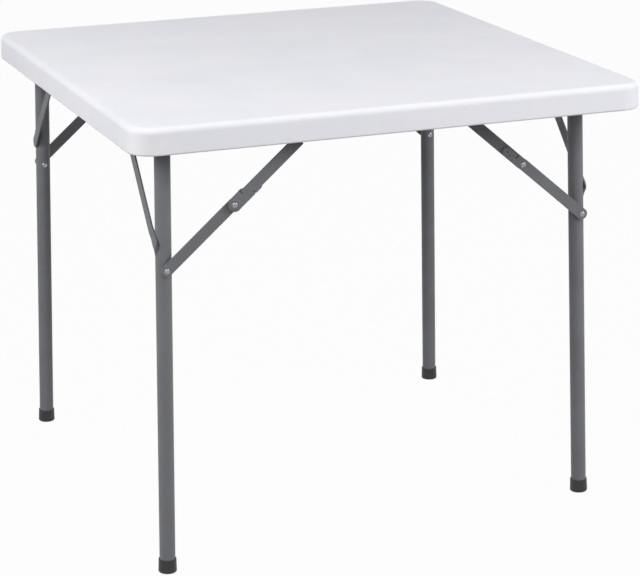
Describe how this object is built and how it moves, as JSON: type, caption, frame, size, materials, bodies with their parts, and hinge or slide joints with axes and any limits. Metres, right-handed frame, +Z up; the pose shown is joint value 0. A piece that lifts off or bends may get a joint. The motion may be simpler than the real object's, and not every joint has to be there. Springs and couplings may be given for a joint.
{
  "type": "folding card table",
  "caption": "Square card table with a moulded top, and two tube leg frames that fold flat into its rim on braces with jointed links.",
  "frame": {"origin": "on the floor, below the middle of the top", "axes": "+Z up; +X to the right along the front edge, from the wide leg frame to the narrow one; +Y away from the viewer, along the fold axes"},
  "size_m": [0.8638, 0.8638, 0.737],
  "materials": {
    "top_plastic": "fine grained moulded plastic, off-white",
    "frame_paint": "satin powder coat, mid grey",
    "link_paint": "satin powder coat, mid grey",
    "rivet_steel": "bright zinc plate",
    "foot_plastic": "black moulded plastic"
  },
  "bodies": {
    "table": {"tabletop": "top_plastic", "rim": "top_plastic", "rail_front": "frame_paint", "rail_back": "frame_paint", "bracket_front_right": "frame_paint", "bracket_back_right": "frame_paint", "brace_pin_front_left": "rivet_steel", "brace_pin_back_left": "rivet_steel", "brace_pin_front_right": "rivet_steel", "brace_pin_back_right": "rivet_steel"},
    "left_frame": {"cross_tube_left": "frame_paint", "leg_front_left": "frame_paint", "foot_front_left": "foot_plastic", "strut_front_left": "frame_paint", "leg_rivet_front_left": "rivet_steel", "pivot_plug_front_left": "foot_plastic", "leg_back_left": "frame_paint", "foot_back_left": "foot_plastic", "strut_back_left": "frame_paint", "leg_rivet_back_left": "rivet_steel", "pivot_plug_back_left": "foot_plastic"},
    "right_frame": {"cross_tube_right": "frame_paint", "leg_front_right": "frame_paint", "foot_front_right": "foot_plastic", "strut_front_right": "frame_paint", "leg_rivet_front_right": "rivet_steel", "pivot_plug_front_right": "foot_plastic", "leg_back_right": "frame_paint", "foot_back_right": "foot_plastic", "strut_back_right": "frame_paint", "leg_rivet_back_right": "rivet_steel", "pivot_plug_back_right": "foot_plastic"},
    "upper_link_front_left": {"upper_link_front_left": "link_paint", "elbow_rivet_front_left": "rivet_steel"},
    "lower_link_front_left": {"lower_link_front_left": "link_paint", "link_rivet_front_left": "rivet_steel"},
    "upper_link_back_left": {"upper_link_back_left": "link_paint"},
    "lower_link_back_left": {"lower_link_back_left": "link_paint", "link_rivet_back_left": "rivet_steel", "elbow_rivet_back_left": "rivet_steel"},
    "upper_link_front_right": {"upper_link_front_right": "link_paint"},
    "lower_link_front_right": {"lower_link_front_right": "link_paint", "link_rivet_front_right": "rivet_steel", "elbow_rivet_front_right": "rivet_steel"},
    "upper_link_back_right": {"upper_link_back_right": "link_paint", "elbow_rivet_back_right": "rivet_steel"},
    "lower_link_back_right": {"lower_link_back_right": "link_paint", "link_rivet_back_right": "rivet_steel"}
  },
  "joints": [
    {"name": "left_fold", "type": "hinge", "parent": "table", "child": "left_frame", "pos_m": [-0.3658, 0, 0.7097], "axis": [0, -1, 0], "range_deg": [0, 91.38]},
    {"name": "right_fold", "type": "hinge", "parent": "table", "child": "right_frame", "pos_m": [0.3658, 0, 0.7097], "axis": [0, 1, 0], "range_deg": [0, 91.38]},
    {"name": "upper_link_front_left_turn", "type": "hinge", "parent": "table", "child": "upper_link_front_left", "pos_m": [-0.12809, 0, 0.7097], "axis": [0, -1, 0], "range_deg": [-40.81, 0]},
    {"name": "elbow_front_left_turn", "type": "hinge", "parent": "upper_link_front_left", "child": "lower_link_front_left", "pos_m": [-0.26011, 0, 0.59575], "axis": [0, -1, 0], "range_deg": [0, 180.01]},
    {"name": "upper_link_back_left_turn", "type": "hinge", "parent": "table", "child": "upper_link_back_left", "pos_m": [-0.12809, 0, 0.7097], "axis": [0, -1, 0], "range_deg": [-40.81, 0]},
    {"name": "elbow_back_left_turn", "type": "hinge", "parent": "upper_link_back_left", "child": "lower_link_back_left", "pos_m": [-0.26011, 0, 0.59575], "axis": [0, -1, 0], "range_deg": [0, 180.01]},
    {"name": "upper_link_front_right_turn", "type": "hinge", "parent": "table", "child": "upper_link_front_right", "pos_m": [0.12809, 0, 0.7097], "axis": [0, 1, 0], "range_deg": [-40.81, 0]},
    {"name": "elbow_front_right_turn", "type": "hinge", "parent": "upper_link_front_right", "child": "lower_link_front_right", "pos_m": [0.26011, 0, 0.59575], "axis": [0, 1, 0], "range_deg": [0, 180.01]},
    {"name": "upper_link_back_right_turn", "type": "hinge", "parent": "table", "child": "upper_link_back_right", "pos_m": [0.12809, 0, 0.7097], "axis": [0, 1, 0], "range_deg": [-40.81, 0]},
    {"name": "elbow_back_right_turn", "type": "hinge", "parent": "upper_link_back_right", "child": "lower_link_back_right", "pos_m": [0.26011, 0, 0.59575], "axis": [0, 1, 0], "range_deg": [0, 180.01]}
  ],
  "couplings": [
    {"joint": "upper_link_front_left_turn", "follows": "left_fold", "ratio": -0.44649},
    {"joint": "elbow_front_left_turn", "follows": "left_fold", "ratio": 1.9698},
    {"joint": "upper_link_back_left_turn", "follows": "left_fold", "ratio": -0.44649},
    {"joint": "elbow_back_left_turn", "follows": "left_fold", "ratio": 1.9698},
    {"joint": "upper_link_front_right_turn", "follows": "right_fold", "ratio": -0.44649},
    {"joint": "elbow_front_right_turn", "follows": "right_fold", "ratio": 1.9698},
    {"joint": "upper_link_back_right_turn", "follows": "right_fold", "ratio": -0.44649},
    {"joint": "elbow_back_right_turn", "follows": "right_fold", "ratio": 1.9698}
  ]
}
